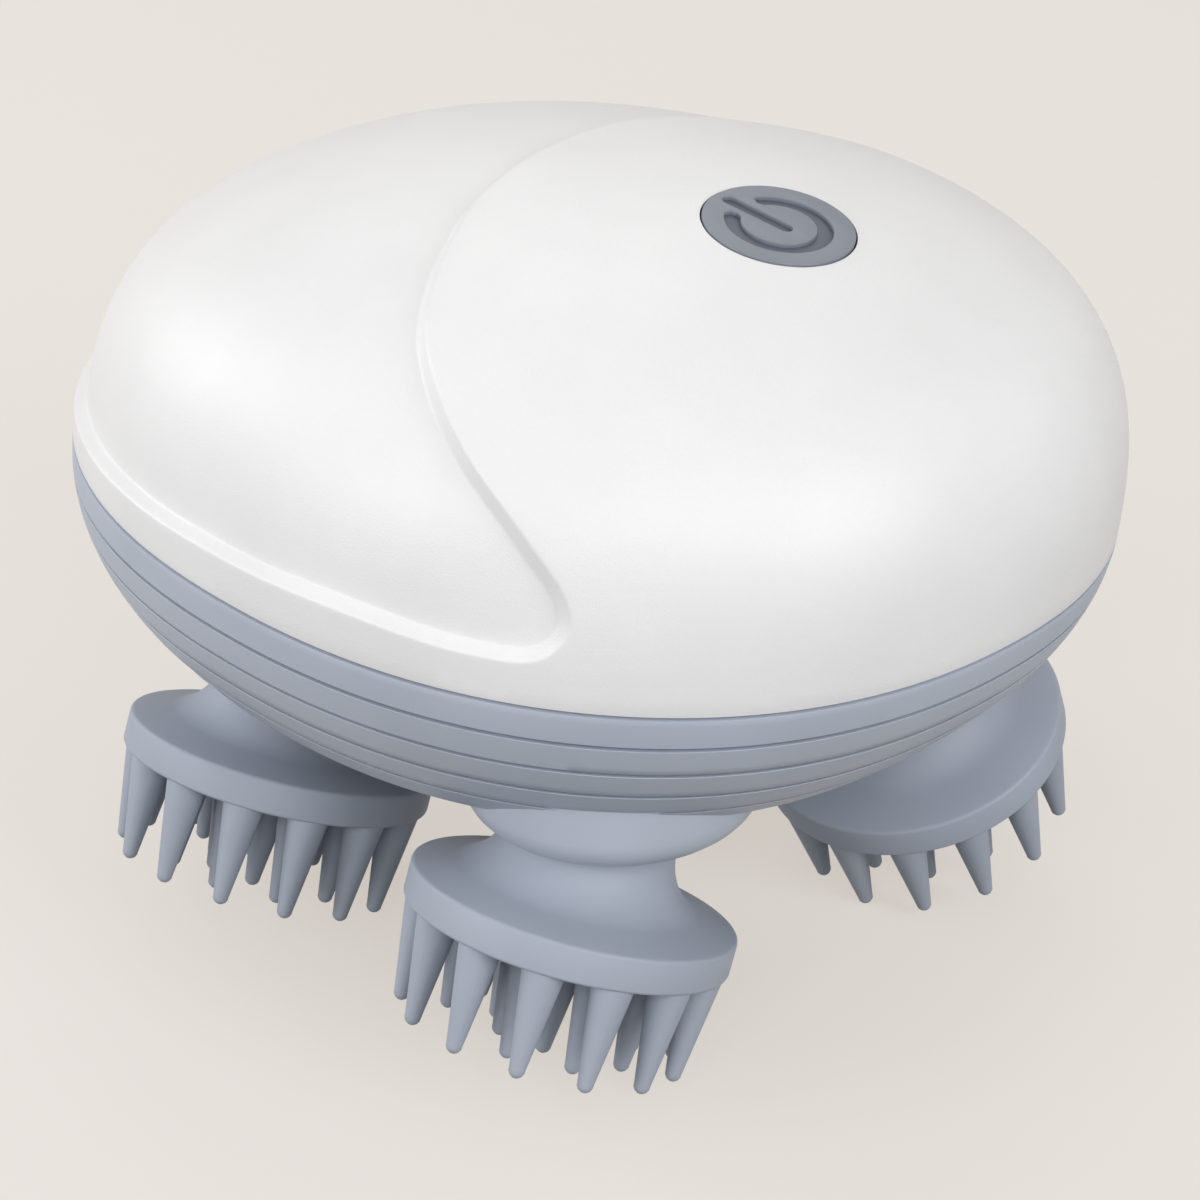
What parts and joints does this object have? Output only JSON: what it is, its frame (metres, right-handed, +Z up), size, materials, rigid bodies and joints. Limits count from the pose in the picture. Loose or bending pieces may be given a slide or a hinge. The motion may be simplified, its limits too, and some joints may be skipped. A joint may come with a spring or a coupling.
{
  "type": "scalp massager",
  "caption": "Cordless handheld scalp massager: an egg-shaped white shell over a banded blue-grey base, with tilted rotating heads of soft silicone pins and a round power button.",
  "frame": {"origin": "on the table plane that the pin tips stand on, under the middle of the bounding box", "axes": "+X along the body, towards the end with the power button; +Y across the body, towards the back pair of heads; +Z up, out of the dome"},
  "size_m": [0.1248, 0.1038, 0.093],
  "materials": {
    "shell_white": "satin white moulding with a fine grain",
    "shell_grey": "smooth satin blue-grey moulding",
    "silicone_grey": "smooth satin blue-grey silicone",
    "dark_rubber": "matt black seal rubber",
    "inner_plastic": "plain natural moulding",
    "gear_plastic": "plain acetal",
    "steel": "plated steel",
    "brass": "turned brass",
    "bronze": "sintered bronze",
    "cell_sleeve": null,
    "circuit_green": "green circuit laminate",
    "black_plastic": "plain black moulding"
  },
  "bodies": {
    "body": {"top_shell": "shell_white", "base_shell": "shell_grey", "shell_gasket": "dark_rubber", "shell_screws": "steel", "gear_deck": "inner_plastic", "deck_screws": "steel", "motor_bridge": "inner_plastic", "bridge_screws": "steel", "motor_can": "steel", "motor_end_cap": "black_plastic", "wheel_axles": "steel", "head_seals": "dark_rubber", "lower_bushes": "bronze", "upper_bushes": "bronze", "battery_cell": "cell_sleeve", "battery_cradle": "inner_plastic", "cradle_screws": "steel", "circuit_board": "circuit_green", "board_screws": "steel", "tact_switch": "black_plastic", "button_gasket": "dark_rubber", "charge_socket": "steel", "charge_board": "circuit_green", "charge_board_screws": "steel"},
    "motor_rotor": {"motor_shaft": "steel", "worm": "brass"},
    "front_wheel": {"front_worm_wheel": "gear_plastic"},
    "back_wheel": {"back_worm_wheel": "gear_plastic"},
    "button": {"button_cap": "shell_grey", "switch_plunger": "black_plastic"},
    "port_plug": {"port_plug": "silicone_grey"},
    "front_right_head": {"front_right_massage_head": "silicone_grey", "front_right_head_core": "inner_plastic", "front_right_head_shaft": "steel", "front_right_head_gear": "gear_plastic", "front_right_shaft_clip": "steel"},
    "front_left_head": {"front_left_massage_head": "silicone_grey", "front_left_head_core": "inner_plastic", "front_left_head_shaft": "steel", "front_left_head_gear": "gear_plastic", "front_left_shaft_clip": "steel"},
    "back_right_head": {"back_right_massage_head": "silicone_grey", "back_right_head_core": "inner_plastic", "back_right_head_shaft": "steel", "back_right_head_gear": "gear_plastic", "back_right_shaft_clip": "steel"},
    "back_left_head": {"back_left_massage_head": "silicone_grey", "back_left_head_core": "inner_plastic", "back_left_head_shaft": "steel", "back_left_head_gear": "gear_plastic", "back_left_shaft_clip": "steel"}
  },
  "joints": [
    {"name": "back_right_spin", "type": "hinge", "parent": "body", "child": "back_right_head", "pos_m": [0.0269, 0.0219, 0.0352], "axis": [0, -0.3633, 0.9317], "continuous": true},
    {"name": "back_left_spin", "type": "hinge", "parent": "body", "child": "back_left_head", "pos_m": [-0.0211, 0.0219, 0.0352], "axis": [0, -0.3633, 0.9317], "continuous": true},
    {"name": "front_right_spin", "type": "hinge", "parent": "body", "child": "front_right_head", "pos_m": [0.0269, -0.0219, 0.0352], "axis": [0, 0.3633, 0.9317], "continuous": true},
    {"name": "front_left_spin", "type": "hinge", "parent": "body", "child": "front_left_head", "pos_m": [-0.0211, -0.0219, 0.0352], "axis": [0, 0.3633, 0.9317], "continuous": true},
    {"name": "back_wheel_spin", "type": "hinge", "parent": "body", "child": "back_wheel", "pos_m": [0.0029, 0.0219, 0.0352], "axis": [0, -0.3633, 0.9317], "continuous": true},
    {"name": "front_wheel_spin", "type": "hinge", "parent": "body", "child": "front_wheel", "pos_m": [0.0029, -0.0219, 0.0352], "axis": [0, 0.3633, 0.9317], "continuous": true},
    {"name": "rotor_spin", "type": "hinge", "parent": "body", "child": "motor_rotor", "pos_m": [0.0029, 0, 0.05393], "axis": [1, 0, 0], "continuous": true},
    {"name": "button_press", "type": "slide", "parent": "body", "child": "button", "axis": [-0.2035, 0, -0.9791], "range_m": [0, 0.0006], "stiffness_N_per_m": 1500, "springref_m": -0.0003},
    {"name": "plug_pull", "type": "slide", "parent": "body", "child": "port_plug", "axis": [-1, 0, 0], "range_m": [0, 0.007]}
  ],
  "couplings": [
    {"joint": "back_left_spin", "follows": "back_right_spin", "ratio": 1},
    {"joint": "front_right_spin", "follows": "back_right_spin", "ratio": -1},
    {"joint": "front_left_spin", "follows": "back_right_spin", "ratio": -1},
    {"joint": "back_wheel_spin", "follows": "back_right_spin", "ratio": -1.6667},
    {"joint": "front_wheel_spin", "follows": "back_right_spin", "ratio": 1.6667},
    {"joint": "rotor_spin", "follows": "back_right_spin", "ratio": 33.333}
  ]
}
